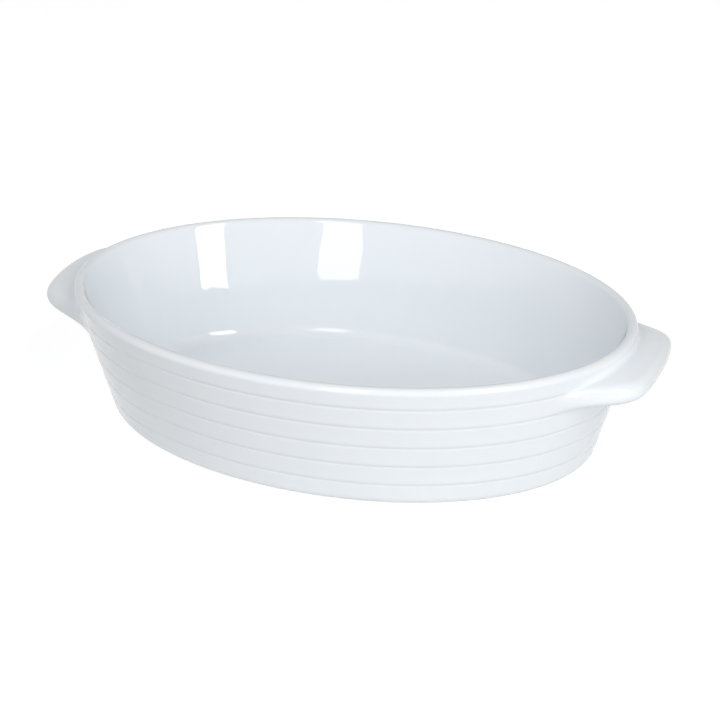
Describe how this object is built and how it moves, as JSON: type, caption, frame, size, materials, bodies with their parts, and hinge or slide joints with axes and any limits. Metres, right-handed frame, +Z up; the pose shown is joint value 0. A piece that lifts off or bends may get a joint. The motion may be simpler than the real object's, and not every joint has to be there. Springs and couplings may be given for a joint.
{
  "type": "oval baking dish",
  "caption": "Open oval oven dish of white glazed ceramic with leaning banded walls, a rounded rim, a flat floor on a low foot and a lug handle at each end.",
  "frame": {"origin": "middle of the foot's underside, the face that the dish stands on", "axes": "+X along the dish from lug to lug, +Y across it, +Z up out of the dish"},
  "size_m": [0.35, 0.225, 0.074],
  "materials": {
    "white_glaze": "glossy white glaze"
  },
  "bodies": {
    "root": {"dish_body": "white_glaze", "handle_left": "white_glaze", "handle_right": "white_glaze"}
  },
  "joints": []
}
